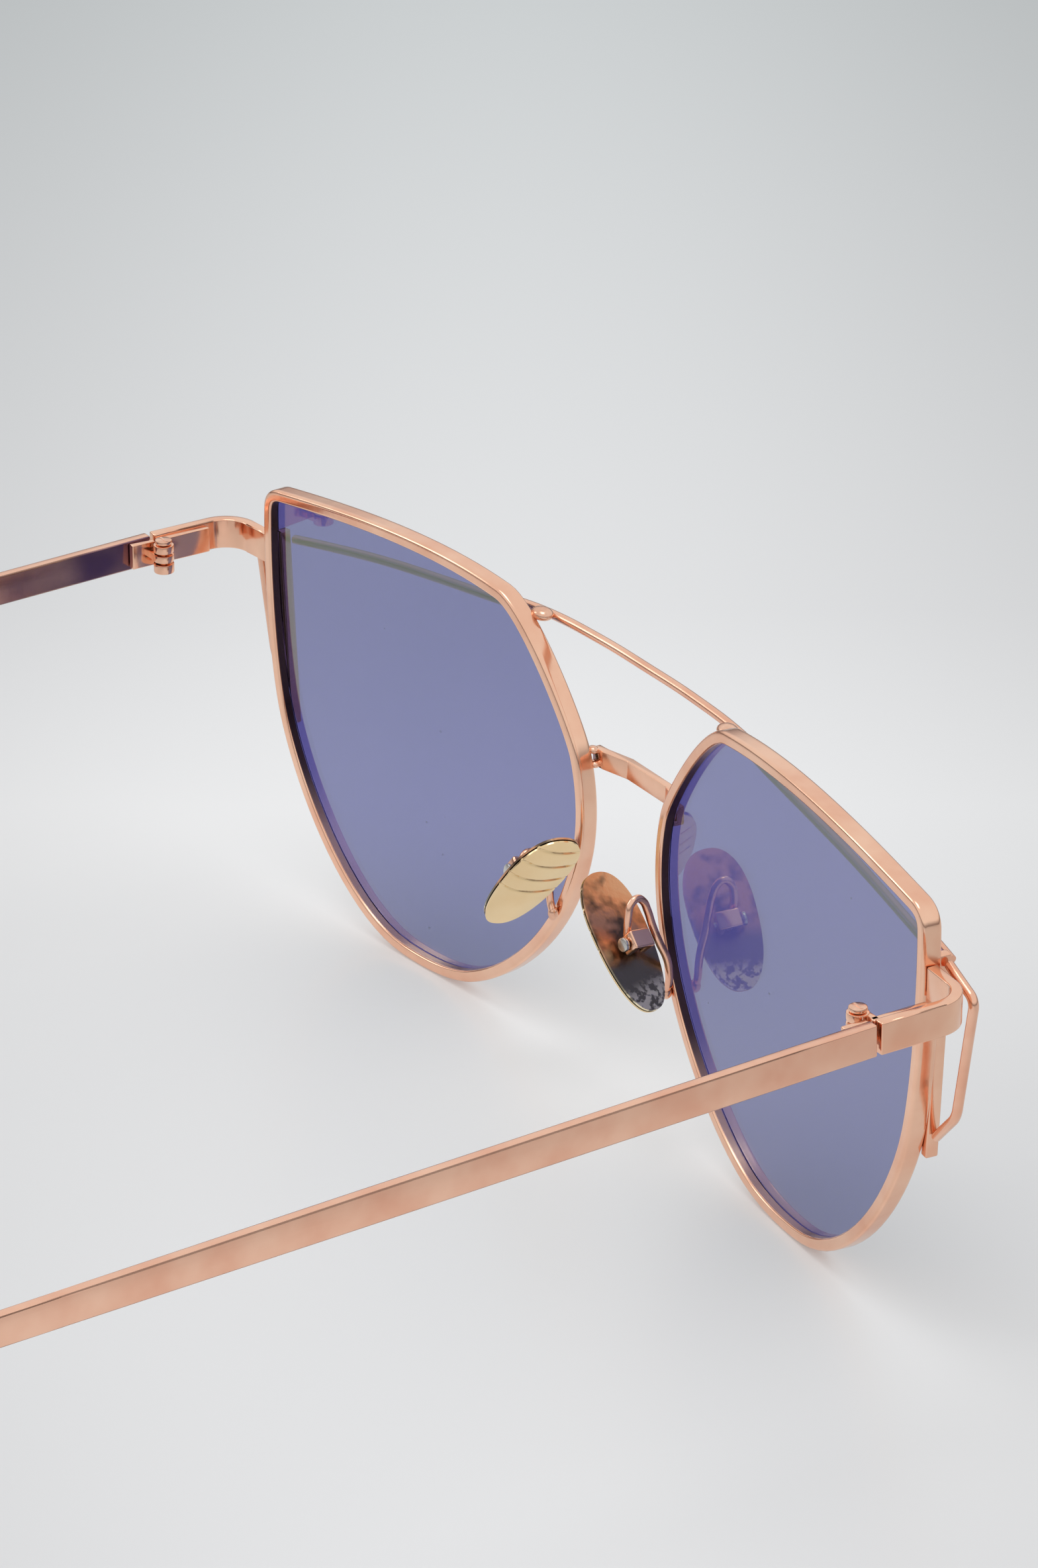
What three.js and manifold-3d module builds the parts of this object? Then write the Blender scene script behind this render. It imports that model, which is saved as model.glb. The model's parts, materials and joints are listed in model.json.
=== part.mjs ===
// Aviator sunglasses with a raised outer corner: two flat lenses in thin metal rims, a straight
// brow wire that runs in front of both lenses and bends into an open loop at each side, a low
// folded bridge, metal nose pads that rock on looped arms, and two temples that fold inwards.
//
// Frame: millimetres, +Z up. The wearer looks along -Y and the temples run back along +Y;
// +X is the wearer's left. The left half is built first and mirrored for the right half. The
// finished group is shifted so that the middle of the footprint, where the rims and the temple
// tips stand, is the origin.
import * as THREE from "three";
import { mergeVertices } from "three/addons/utils/BufferGeometryUtils.js";
import Module from "manifold-3d";

const wasm = await Module();
wasm.setup();

// ---- driving dimensions, mm ----
const LENS_X = 37.2; // centre of each lens opening from the middle plane
const WRAP = 0.108; // turn of each lens plane about the vertical, radians
const RIM_WALL = 1.4; // rim width seen from the front
const RIM_DEPTH = 2.3; // rim size front to back
const SEAT_DEPTH = 1.0; // from the rear edge of the rim to the lens seat
const SEAT_WIDTH = 0.7; // how far the seat is cut into the rim
const LENS_LAP = 0.4; // how far the lens reaches past the opening
const LENS_REAR = 1.2; // rear face of the lens from the rear edge of the rim
const LENS_THICKNESS = 1.2;
const WIRE_RADIUS = 0.55; // brow wire and side loops
const WIRE_DEPTH = 4.35; // brow wire axis in front of the rear edge of the rim
const LOOP_DEPTH = 3.2; // the same for the side loops
const BAR_TOP_X = 64.9; // centre line of the side bar at its upper end
const BAR_FOOT_X = 63.3; // and at its lower end
const BAR_WIDTH = 1.1;
const BAR_DEPTH = 1.2;
const BAR_TOP = 17.5;
const BAR_BOTTOM = -6.5;
const STRIP_Z = 15.2; // mid height of end piece and temple at the hinge
const STRIP_HEIGHT = 3.6;
const STRIP_THICKNESS = 1.3;
const TEMPLE_X = 73.2; // middle of the temple strip
const HINGE_X = 70.0;
const HINGE_Y = 13.95;
const BARREL_RADIUS = 1.2;
const BARREL_BORE = 0.75;
const SCREW_RADIUS = 0.45;
const TEMPLE_SLOPE = -0.03; // fall of the straight part of the temple, radians
const TEMPLE_STRAIGHT = 99.6; // hinge to the start of the ear bend
const BEND_RADIUS = 16;
const BEND_ANGLE = 1.12; // 64 degrees
const TIP_STRAIGHT = 32.78;
const TIP_START = 102.6; // where the plastic tip begins along the temple
const TIP_THICKNESS = 2.2;
const PAD_HALF_LENGTH = 8.45;
const PAD_HALF_WIDTH = 3.8;
const PAD_THICKNESS = 0.9;
const PAD_PIVOT = 1.9; // rocking axis behind the middle of the pad
const PAD_DROP = 0.9; // and below it, along the pad
const ARM_RADIUS = 0.45;
const GAP = 0.3; // clearance between parts that touch

const ROSE_GOLD = 0xdfa58c;
const PALE_GOLD = 0xd9bf88;
const LENS_TINT = 0x767fae;
const TIP_COLOUR = 0xd9a99a;
const STEEL = 0xb9b8b4;

function metal(colour, roughness) {
  return new THREE.MeshStandardMaterial({ color: colour, roughness, metalness: 1 });
}

// ---- solids ----
function toSolid(geometry) {
  const bare = geometry.clone();
  bare.deleteAttribute("normal");
  bare.deleteAttribute("uv");
  const merged = mergeVertices(bare, 1e-4);
  return new wasm.Manifold(
    new wasm.Mesh({
      numProp: 3,
      vertProperties: merged.attributes.position.array,
      triVerts: new Uint32Array(merged.index.array),
    }),
  );
}

function toGeometry(solid) {
  const mesh = solid.getMesh();
  const geometry = new THREE.BufferGeometry();
  geometry.setAttribute("position", new THREE.BufferAttribute(mesh.vertProperties, 3));
  geometry.setIndex(new THREE.BufferAttribute(mesh.triVerts, 1));
  geometry.computeVertexNormals();
  return geometry;
}

// An outline in X and Z pushed forwards (towards -Y), from depth start to depth end.
function plate(shape, start, end, bevel = 0) {
  const geometry = new THREE.ExtrudeGeometry(shape, {
    depth: end - start - 2 * bevel,
    bevelEnabled: bevel > 0,
    bevelThickness: bevel,
    bevelSize: bevel,
    bevelOffset: -bevel,
    bevelSegments: 1,
    curveSegments: 8,
  });
  geometry.translate(0, 0, start + bevel);
  geometry.rotateX(Math.PI / 2);
  return geometry;
}

// An outline in X and Y raised from z = bottom to z = top.
function slab(shape, bottom, top, bevel = 0) {
  const geometry = new THREE.ExtrudeGeometry(shape, {
    depth: top - bottom - 2 * bevel,
    bevelEnabled: bevel > 0,
    bevelThickness: bevel,
    bevelSize: bevel,
    bevelOffset: -bevel,
    bevelSegments: 1,
    curveSegments: 8,
  });
  geometry.translate(0, 0, bottom + bevel);
  return geometry;
}

// An outline in Y and Z with its thickness along X, centred on x = 0.
function sidePlate(shape, thickness, bevel = 0) {
  const geometry = new THREE.ExtrudeGeometry(shape, {
    depth: thickness - 2 * bevel,
    bevelEnabled: bevel > 0,
    bevelThickness: bevel,
    bevelSize: bevel,
    bevelOffset: -bevel,
    bevelSegments: 2,
    curveSegments: 8,
  });
  geometry.translate(0, 0, bevel - thickness / 2);
  const along = new THREE.Matrix4().makeBasis(
    new THREE.Vector3(0, 1, 0),
    new THREE.Vector3(0, 0, 1),
    new THREE.Vector3(1, 0, 0),
  );
  geometry.applyMatrix4(along);
  return geometry;
}

function wire(curve, radius, steps, sides = 5) {
  const section = new THREE.Shape().absarc(0, 0, radius, 0, 2 * Math.PI);
  return new THREE.ExtrudeGeometry(section, {
    steps,
    extrudePath: curve,
    bevelEnabled: false,
    curveSegments: sides,
  });
}

function polygon(points) {
  return new THREE.Shape(points.map(([x, y]) => new THREE.Vector2(x, y)));
}

// Moves every point of a closed outline outwards by a distance.
function offset(points, distance) {
  const n = points.length;
  return points.map((p, i) => {
    const before = points[(i + n - 1) % n];
    const after = points[(i + 1) % n];
    const a = new THREE.Vector2().subVectors(p, before).normalize();
    const b = new THREE.Vector2().subVectors(after, p).normalize();
    const normal = new THREE.Vector2(a.y + b.y, -a.x - b.x).normalize();
    const spread = Math.max(0.6, normal.dot(new THREE.Vector2(a.y, -a.x)));
    return p.clone().addScaledVector(normal, distance / spread);
  });
}

// ---- lens opening: flat raised brow, sharp outer corner, straight outer side, rounded foot and
// a slanting inner corner. Local X is outwards from the lens centre, Y is up. ----
function openingOutline() {
  const path = new THREE.Path();
  path.moveTo(-14.5, 23.8);
  path.bezierCurveTo(-18.7, 23.0, -26.9, 12.1, -27.8, 9.1);
  path.bezierCurveTo(-28.9, 6.0, -28.9, 1.9, -28.3, -2.3);
  path.bezierCurveTo(-25.3, -12.1, -17.3, -21.0, -9.4, -24.55);
  path.bezierCurveTo(-5.6, -26.0, -0.9, -26.2, 2.8, -25.95);
  path.bezierCurveTo(14.0, -25.1, 22.9, -11.6, 25.3, -3.25);
  path.bezierCurveTo(26.8, 2.8, 27.7, 13.0, 27.35, 20.5);
  path.quadraticCurveTo(27.3, 22.0, 25.6, 22.15);
  path.bezierCurveTo(13.1, 24.1, -1.9, 25.2, -14.5, 23.8);
  return path.getPoints(9).slice(0, -1);
}

const opening = openingOutline();
const rimOuter = offset(opening, RIM_WALL);

function makeRim() {
  const ring = new THREE.Shape(rimOuter);
  ring.holes.push(new THREE.Path(opening));
  const body = toSolid(plate(ring, 0, RIM_DEPTH, 0.2));
  const seat = new THREE.Shape(offset(opening, SEAT_WIDTH));
  const cutter = toSolid(plate(seat, SEAT_DEPTH, RIM_DEPTH + 1));
  return toGeometry(body.subtract(cutter));
}

function makeLens() {
  const blank = new THREE.Shape(offset(opening, LENS_LAP));
  return plate(blank, LENS_REAR, LENS_REAR + LENS_THICKNESS, 0.15);
}

// Depth of the rear edge of the rims at a distance x from the middle plane.
function rimPlane(x) {
  return Math.tan(WRAP) * (x - LENS_X);
}

// ---- brow wire: one piece from side to side, in front of both lenses ----
function browPoint(x, z, depth = WIRE_DEPTH) {
  return new THREE.Vector3(x, rimPlane(Math.abs(x)) - depth, z);
}

function makeBrowWire() {
  const half = [
    [9.5, 22.6, 3.85],
    [19.4, 22.3, WIRE_DEPTH],
    [28.7, 21.3, WIRE_DEPTH],
    [37.2, 20.4, WIRE_DEPTH],
    [47, 19.2, WIRE_DEPTH],
    [57.2, 17.5, WIRE_DEPTH],
    [64.6, 16.1, WIRE_DEPTH],
  ];
  const left = half.map(([x, z, depth]) => browPoint(x, z, depth));
  const right = half.map(([x, z, depth]) => browPoint(-x, z, depth)).reverse();
  const middle = new THREE.Vector3(0, -7.0, 22.6);
  return wire(new THREE.CatmullRomCurve3([...right, middle, ...left]), WIRE_RADIUS, 64);
}

// Open loop outside each rim: out along the brow line, down, and back in to the side bar.
function makeSideLoop() {
  const points = [
    [66.1, 16.5],
    [71.3, 14.8],
    [68.4, 0.2],
    [64.5, -3.9],
  ].map(([x, z]) => browPoint(x, z, LOOP_DEPTH));
  const path = new THREE.CurvePath();
  const round = 1.1;
  let from = points[0];
  for (let i = 1; i < points.length - 1; i++) {
    const corner = points[i];
    const back = new THREE.Vector3().subVectors(points[i - 1], corner).setLength(round);
    const ahead = new THREE.Vector3().subVectors(points[i + 1], corner).setLength(round);
    const entry = corner.clone().add(back);
    const exit = corner.clone().add(ahead);
    path.add(new THREE.LineCurve3(from, entry));
    path.add(new THREE.QuadraticBezierCurve3(entry, corner, exit));
    from = exit;
  }
  path.add(new THREE.LineCurve3(from, points[points.length - 1]));
  return wire(path, WIRE_RADIUS, 36, 4);
}

// ---- lower bridge: a folded strap whose feet sit on the front of the rims ----
function makeLowerBridge() {
  const rear = [
    [9.2, -5.85],
    [7.4, -6.0],
    [3.8, -6.9],
  ];
  const thickness = 1.0;
  const outline = [
    ...rear,
    ...rear.map(([x, y]) => [-x, y]).reverse(),
    [-9.2, -5.85 - thickness],
    [-7.6, -6.0 - thickness],
    [-4.0, -6.9 - thickness],
    [4.0, -6.9 - thickness],
    [7.6, -6.0 - thickness],
    [9.2, -5.85 - thickness],
  ];
  return slab(polygon(outline.reverse()), 7.75, 9.95, 0.15);
}

// ---- end piece: leaves the rim sideways and turns back to the hinge ----
function makeEndPiece() {
  const half = STRIP_THICKNESS / 2;
  const shape = new THREE.Shape();
  shape.moveTo(66.05, 1.25);
  shape.lineTo(69.6, 1.6);
  shape.bezierCurveTo(72.2, 1.9, TEMPLE_X + half, 3.6, TEMPLE_X + half, 6.6);
  shape.lineTo(TEMPLE_X + half, HINGE_Y - 0.25);
  shape.lineTo(TEMPLE_X - half, HINGE_Y - 0.25);
  shape.lineTo(TEMPLE_X - half, 6.8);
  shape.bezierCurveTo(TEMPLE_X - half, 4.4, 71.4, 3.2, 69.4, 2.95);
  shape.lineTo(66.05, 2.6);
  shape.closePath();
  return slab(shape, STRIP_Z - STRIP_HEIGHT / 2, STRIP_Z + STRIP_HEIGHT / 2, 0.15);
}

function disc(x, y, bottom, top, radius) {
  const shape = new THREE.Shape().absarc(x, y, radius, 0, 2 * Math.PI);
  return slab(shape, bottom, top);
}

// A hinge leaf: a plate on the inner face of the strip and the knuckles that it carries.
function makeLeaf(yFrom, yTo, knuckles) {
  const inner = TEMPLE_X - STRIP_THICKNESS / 2 - GAP;
  const base = slab(
    polygon([
      [inner - 0.8, yFrom],
      [inner, yFrom],
      [inner, yTo],
      [inner - 0.8, yTo],
    ]),
    STRIP_Z - 1.5,
    STRIP_Z + 1.5,
  );
  let solid = toSolid(base);
  const nearEnd = Math.abs(yTo - HINGE_Y) < Math.abs(yFrom - HINGE_Y) ? yTo : yFrom;
  const sign = nearEnd < HINGE_Y ? -1 : 1;
  for (const [bottom, top] of knuckles) {
    const barrel = disc(HINGE_X, HINGE_Y, STRIP_Z + bottom, STRIP_Z + top, BARREL_RADIUS);
    const web = slab(
      polygon(
        [
          [HINGE_X + 0.2, HINGE_Y + sign * 1.15],
          [inner - 0.2, HINGE_Y + sign * 1.15],
          [inner - 0.2, HINGE_Y + sign * 0.3],
          [HINGE_X + 0.2, HINGE_Y + sign * 0.3],
        ][sign < 0 ? "slice" : "reverse"](),
      ),
      STRIP_Z + Math.max(bottom, -1.5),
      STRIP_Z + Math.min(top, 1.5),
    );
    solid = solid.add(toSolid(barrel)).add(toSolid(web));
  }
  const bore = disc(HINGE_X, HINGE_Y, STRIP_Z - 4, STRIP_Z + 4, BARREL_BORE);
  return toGeometry(solid.subtract(toSolid(bore)));
}

function makeHingeScrew() {
  const top = STRIP_Z + 1.6 + 0.1;
  const profile = [
    [0, STRIP_Z - 1.9],
    [SCREW_RADIUS, STRIP_Z - 1.9],
    [SCREW_RADIUS, top],
    [1.0, top],
    [1.0, top + 0.35],
    [0.75, top + 0.5],
    [0, top + 0.5],
  ].map(([r, z]) => new THREE.Vector2(r, z));
  const geometry = new THREE.LatheGeometry(profile, 12);
  geometry.rotateX(Math.PI / 2);
  geometry.translate(HINGE_X, HINGE_Y, 0);
  return geometry;
}

// ---- temple: its centre line runs back from the hinge, bends down behind the ear and ends in
// a straight tip. Gives the point and the upward normal at a distance u along the line. ----
function templeLine(u) {
  const start = new THREE.Vector2(HINGE_Y, STRIP_Z);
  const angleAt = (turn) => TEMPLE_SLOPE - turn;
  const direction = (angle) => new THREE.Vector2(Math.cos(angle), Math.sin(angle));
  const bendLength = BEND_RADIUS * BEND_ANGLE;
  const point = start.clone().addScaledVector(direction(TEMPLE_SLOPE), Math.min(u, TEMPLE_STRAIGHT));
  let angle = TEMPLE_SLOPE;
  if (u > TEMPLE_STRAIGHT) {
    const turn = Math.min((u - TEMPLE_STRAIGHT) / BEND_RADIUS, BEND_ANGLE);
    const centre = point.clone().addScaledVector(direction(TEMPLE_SLOPE - Math.PI / 2), BEND_RADIUS);
    angle = angleAt(turn);
    point.copy(centre).addScaledVector(direction(angle + Math.PI / 2), BEND_RADIUS);
    point.addScaledVector(direction(angle), Math.max(0, u - TEMPLE_STRAIGHT - bendLength));
  }
  return { point, normal: direction(angle + Math.PI / 2) };
}

function ribbon(stations) {
  const upper = [];
  const lower = [];
  for (const [u, height] of stations) {
    const { point, normal } = templeLine(u);
    upper.push(point.clone().addScaledVector(normal, height / 2));
    lower.push(point.clone().addScaledVector(normal, -height / 2));
  }
  return new THREE.Shape([...lower, ...upper.reverse()]);
}

function makeTemple() {
  const strip = ribbon([
    [0.25, STRIP_HEIGHT],
    [60, 3.55],
    [TEMPLE_STRAIGHT, 3.3],
    [TEMPLE_STRAIGHT + 1, 3.3],
    [TEMPLE_STRAIGHT + 2, 3.3],
    [TIP_START, 3.3],
  ]);
  const tang = ribbon([0, 1, 2, 3, 4, 5].map((i) => [TIP_START - 1 + 1.8 * i, 1.9]));
  const solid = toSolid(sidePlate(strip, STRIP_THICKNESS, 0.15));
  const joined = solid.add(toSolid(sidePlate(tang, 0.7)));
  const geometry = toGeometry(joined);
  geometry.translate(TEMPLE_X, 0, 0);
  return geometry;
}

function makeTempleTip() {
  const end = TEMPLE_STRAIGHT + BEND_RADIUS * BEND_ANGLE + TIP_STRAIGHT;
  const stations = [];
  for (let u = TIP_START + GAP; u < end - 4; u += 2.6) {
    const share = (u - TIP_START) / (end - TIP_START);
    stations.push([u, 4.0 + 1.4 * share]);
  }
  for (let i = 0; i <= 5; i++) {
    const turn = (i / 5) * (Math.PI / 2) * 0.92;
    stations.push([end - 2.7 + 2.7 * Math.sin(turn), 5.4 * Math.cos(turn)]);
  }
  const body = toSolid(sidePlate(ribbon(stations), TIP_THICKNESS, 0.45));
  const socket = ribbon([0, 1, 2, 3, 4, 5, 6].map((i) => [TIP_START - 1 + 1.8 * i, 2.5]));
  const geometry = toGeometry(body.subtract(toSolid(sidePlate(socket, 1.4))));
  geometry.translate(TEMPLE_X, 0, 0);
  return geometry;
}

// ---- nose pads. Each has its own rest angle: across (local X), skin side (local Y), up its
// length (local Z), all given for a left half. ----
const PADS = {
  left: {
    centre: [9.3, 2.2, -4.6],
    skin: [-0.809, 0.207, -0.55],
    length: [-0.584, -0.179, 0.791],
  },
  right: {
    centre: [9.3, 2.0, -4.35],
    skin: [-0.682, 0.196, -0.704],
    length: [-0.72, -0.013, 0.694],
  },
};

function padFrame(pad) {
  const along = new THREE.Vector3(...pad.length).normalize();
  const skin = new THREE.Vector3(...pad.skin);
  skin.addScaledVector(along, -skin.dot(along)).normalize();
  const across = new THREE.Vector3().crossVectors(skin, along);
  const matrix = new THREE.Matrix4().makeBasis(across, skin, along);
  matrix.setPosition(...pad.centre);
  return matrix;
}

// Leaf with blunt ends, a little wider towards its upper end, with the pivot lug behind it.
function makeNosePad() {
  const points = [];
  const count = 32;
  for (let i = 0; i < count; i++) {
    const turn = ((i + 0.5) / count) * 2 * Math.PI;
    const across = Math.sign(Math.cos(turn)) * Math.abs(Math.cos(turn)) ** 0.8;
    const along = Math.sign(Math.sin(turn)) * Math.abs(Math.sin(turn)) ** 0.8;
    const width = PAD_HALF_WIDTH * (1 + 0.1 * along);
    points.push(new THREE.Vector2(width * across, PAD_HALF_LENGTH * along));
  }
  const half = PAD_THICKNESS / 2;
  const leaf = plate(new THREE.Shape(points), -half, half, 0.25);
  const lug = new THREE.Shape();
  lug.moveTo(-PAD_PIVOT, -0.75);
  lug.absarc(-PAD_PIVOT, 0, 0.75, -Math.PI / 2, Math.PI / 2, true);
  lug.lineTo(-half + 0.2, 0.75);
  lug.lineTo(-half + 0.2, -0.75);
  lug.closePath();
  const eye = new THREE.Path().absarc(-PAD_PIVOT, 0, 0.45, 0, 2 * Math.PI);
  lug.holes.push(eye);
  const ear = sidePlate(lug, 0.7);
  ear.translate(0, 0, -PAD_DROP);
  return toGeometry(toSolid(leaf).add(toSolid(ear)));
}

// Forked box on the arm, open towards the pad, that the lug rocks in.
function makePadBox() {
  const outer = new THREE.BoxGeometry(2.7, 2.2, 2.1);
  outer.translate(0, -PAD_PIVOT - 0.25, -PAD_DROP);
  const slot = new THREE.BoxGeometry(1.3, 2.8, 3);
  slot.translate(0, -PAD_PIVOT + 0.4, -PAD_DROP);
  const bore = new THREE.CylinderGeometry(0.5, 0.5, 6, 10);
  bore.rotateZ(Math.PI / 2);
  bore.translate(0, -PAD_PIVOT, -PAD_DROP);
  return toGeometry(toSolid(outer).subtract(toSolid(slot)).subtract(toSolid(bore)));
}

function makePadScrew() {
  const profile = [
    [0, -1.6],
    [0.25, -1.6],
    [0.25, 1.65],
    [0.8, 1.65],
    [0.8, 2.1],
    [0.55, 2.25],
    [0, 2.25],
  ].map(([r, z]) => new THREE.Vector2(r, z));
  const geometry = new THREE.LatheGeometry(profile, 10);
  geometry.rotateZ(-Math.PI / 2);
  geometry.translate(0, -PAD_PIVOT, -PAD_DROP);
  return geometry;
}

// Way of each pad arm from its foot on the rim to the box. The right arm rises in a high loop,
// the left one in a low loop that stays behind its pad.
const ARM_FOOT = [
  [11.4, -2.1, -10.5],
  [12.0, -2.15, -9.3],
  [12.1, -2.1, -7.9],
];
const ARM_LOOP = {
  left: [
    [12.1, -1.75, -6.3],
    [11.7, -1.1, -4.9],
    [11.3, -0.5, -3.7],
    [11.0, 0.15, -2.6],
    [10.9, 1.0, -1.95],
    [10.8, 1.9, -1.9],
  ],
  right: [
    [12.0, -1.85, -6.2],
    [11.5, -1.15, -4.2],
    [11.0, -0.6, -2.3],
    [10.75, -0.1, -0.4],
    [10.7, 0.45, 0.8],
    [10.7, 1.25, 1.3],
    [10.75, 2.05, 0.8],
    [10.85, 2.4, -0.3],
  ],
};

// Round wire from the rear of the rim, up past the box, over in a loop and down onto the box.
function makePadArm(frame, side) {
  const end = new THREE.Vector3(0.8, -PAD_PIVOT, 1.05 + GAP - PAD_DROP).applyMatrix4(frame);
  const points = [...ARM_FOOT, ...ARM_LOOP[side]].map((p) => new THREE.Vector3(...p));
  return wire(new THREE.CatmullRomCurve3([...points, end]), ARM_RADIUS, 34, 4);
}

// ---- assembly ----
const glasses = new THREE.Group();
glasses.name = "sunglasses";

function add(parent, name, geometry, material) {
  const mesh = new THREE.Mesh(geometry, material);
  mesh.name = name;
  parent.add(mesh);
  return mesh;
}

add(glasses, "brow_wire", makeBrowWire(), metal(ROSE_GOLD, 0.2));
add(glasses, "lower_bridge", makeLowerBridge(), metal(ROSE_GOLD, 0.2));

for (const side of ["left", "right"]) {
  const half = new THREE.Group();
  half.scale.x = side === "left" ? 1 : -1;
  glasses.add(half);

  const eye = new THREE.Group();
  eye.position.set(LENS_X, 0, 0);
  eye.rotation.z = WRAP;
  half.add(eye);
  add(eye, "rim_" + side, makeRim(), metal(ROSE_GOLD, 0.22));
  const glass = new THREE.MeshStandardMaterial({ color: LENS_TINT, roughness: 0.05, metalness: 0.3 });
  add(eye, "lens_" + side, makeLens(), glass);

  const barLean = Math.atan((BAR_TOP_X - BAR_FOOT_X) / (BAR_TOP - BAR_BOTTOM));
  const bar = new THREE.BoxGeometry(BAR_WIDTH, BAR_DEPTH, BAR_TOP - BAR_BOTTOM);
  const barMesh = add(eye, "side_bar_" + side, bar, metal(ROSE_GOLD, 0.22));
  const barX = (BAR_TOP_X + BAR_FOOT_X) / 2 - LENS_X;
  const barY = -RIM_DEPTH - 0.2 - BAR_DEPTH / 2;
  barMesh.position.set(barX, barY, (BAR_TOP + BAR_BOTTOM) / 2);
  barMesh.rotation.y = barLean;

  const post = new THREE.BoxGeometry(1.5, 0.7, 1.3);
  const postMesh = add(half, "brow_post_" + side, post, metal(ROSE_GOLD, 0.22));
  postMesh.position.set(18.3, rimPlane(18.3) - RIM_DEPTH - GAP - 0.35, 22.5);
  postMesh.rotation.z = WRAP;

  add(half, "side_loop_" + side, makeSideLoop(), metal(ROSE_GOLD, 0.2));
  add(half, "end_piece_" + side, makeEndPiece(), metal(ROSE_GOLD, 0.22));
  const frontKnuckles = [
    [-1.8, -0.7],
    [0.7, 1.6],
  ];
  const frontLeaf = makeLeaf(6.9, HINGE_Y - 0.25, frontKnuckles);
  add(half, "hinge_front_" + side, frontLeaf, metal(ROSE_GOLD, 0.3));
  add(half, "hinge_screw_" + side, makeHingeScrew(), metal(STEEL, 0.3));
  const rearLeaf = makeLeaf(HINGE_Y + 0.25, HINGE_Y + 3.2, [[-0.4, 0.4]]);
  add(half, "hinge_rear_" + side, rearLeaf, metal(ROSE_GOLD, 0.3));
  add(half, "temple_" + side, makeTemple(), metal(ROSE_GOLD, 0.22));
  const plastic = new THREE.MeshStandardMaterial({ color: TIP_COLOUR, roughness: 0.35, metalness: 0 });
  add(half, "temple_tip_" + side, makeTempleTip(), plastic);

  const frame = padFrame(PADS[side]);
  const padGroup = new THREE.Group();
  padGroup.applyMatrix4(frame);
  half.add(padGroup);
  add(padGroup, "nose_pad_" + side, makeNosePad(), metal(PALE_GOLD, 0.2));
  add(padGroup, "pad_box_" + side, makePadBox(), metal(ROSE_GOLD, 0.25));
  add(padGroup, "pad_screw_" + side, makePadScrew(), metal(STEEL, 0.3));
  add(half, "pad_arm_" + side, makePadArm(frame, side), metal(ROSE_GOLD, 0.2));
}

// The footprint's middle becomes the origin, with the lowest points at z = 0.
const bounds = new THREE.Box3().setFromObject(glasses);
const size = bounds.getSize(new THREE.Vector3());
glasses.position.set(
  -(bounds.min.x + size.x / 2),
  -(bounds.min.y + size.y / 2),
  -bounds.min.z,
);

export default glasses;
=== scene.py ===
# %% [markdown]
# # Aviator sunglasses in rose gold
# A pair of sunglasses is mostly thin polished metal around two tinted plates. The sizes are
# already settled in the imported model, so this lesson only makes its looks: every piece is built
# again with rounder edges, fine marks and a finish of its own, in the same place.

# %% Load the fixed frame
import json
import math

import bmesh
import bpy
from mathutils import Matrix, Vector


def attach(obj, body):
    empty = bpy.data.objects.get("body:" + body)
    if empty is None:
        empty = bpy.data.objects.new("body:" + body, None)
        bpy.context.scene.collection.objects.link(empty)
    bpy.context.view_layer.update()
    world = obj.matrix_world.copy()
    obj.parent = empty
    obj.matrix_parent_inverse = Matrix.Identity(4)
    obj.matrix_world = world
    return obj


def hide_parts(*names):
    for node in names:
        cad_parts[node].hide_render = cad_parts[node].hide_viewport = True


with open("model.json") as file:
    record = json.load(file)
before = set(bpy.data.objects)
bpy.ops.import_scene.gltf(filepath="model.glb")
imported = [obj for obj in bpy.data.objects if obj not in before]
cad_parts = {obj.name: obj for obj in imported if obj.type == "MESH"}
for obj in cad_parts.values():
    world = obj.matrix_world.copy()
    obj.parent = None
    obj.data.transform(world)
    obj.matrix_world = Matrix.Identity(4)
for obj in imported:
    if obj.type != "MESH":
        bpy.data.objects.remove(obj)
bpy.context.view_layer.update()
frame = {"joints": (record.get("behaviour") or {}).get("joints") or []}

# %% [markdown]
# ## One set of sizes
# The glasses were drawn in millimetres from the middle of the nose, with the hinge at a known
# spot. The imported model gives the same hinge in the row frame, so one translation carries every
# drawn size across. The right half is the left half mirrored.

# %% Carry the drawing into the row frame
MM = 0.001
HINGE = Vector((70.0, 13.95, 15.2))
LENS_X = 37.2
WRAP = 0.108
SIDES = ("left", "right")


def mm(*values):
    return Vector(values) * MM


hinge_row = next(Vector(j["pos_m"]) for j in frame["joints"] if j["name"] == "left_temple_fold")
TO_ROW = Matrix.Translation(hinge_row - HINGE * MM)
EYE = Matrix.Translation(mm(LENS_X, 0, 0)) @ Matrix.Rotation(WRAP, 4, "Z")
STAND = Matrix.Rotation(math.pi / 2, 4, "X")
print("drawing origin sits at", [round(v * 1000, 2) for v in TO_ROW.translation])


def half(side):
    return Matrix.Diagonal((1 if side == "left" else -1, 1, 1, 1))


def rim_plane(x):
    return math.tan(WRAP) * (abs(x) - LENS_X)
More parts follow.
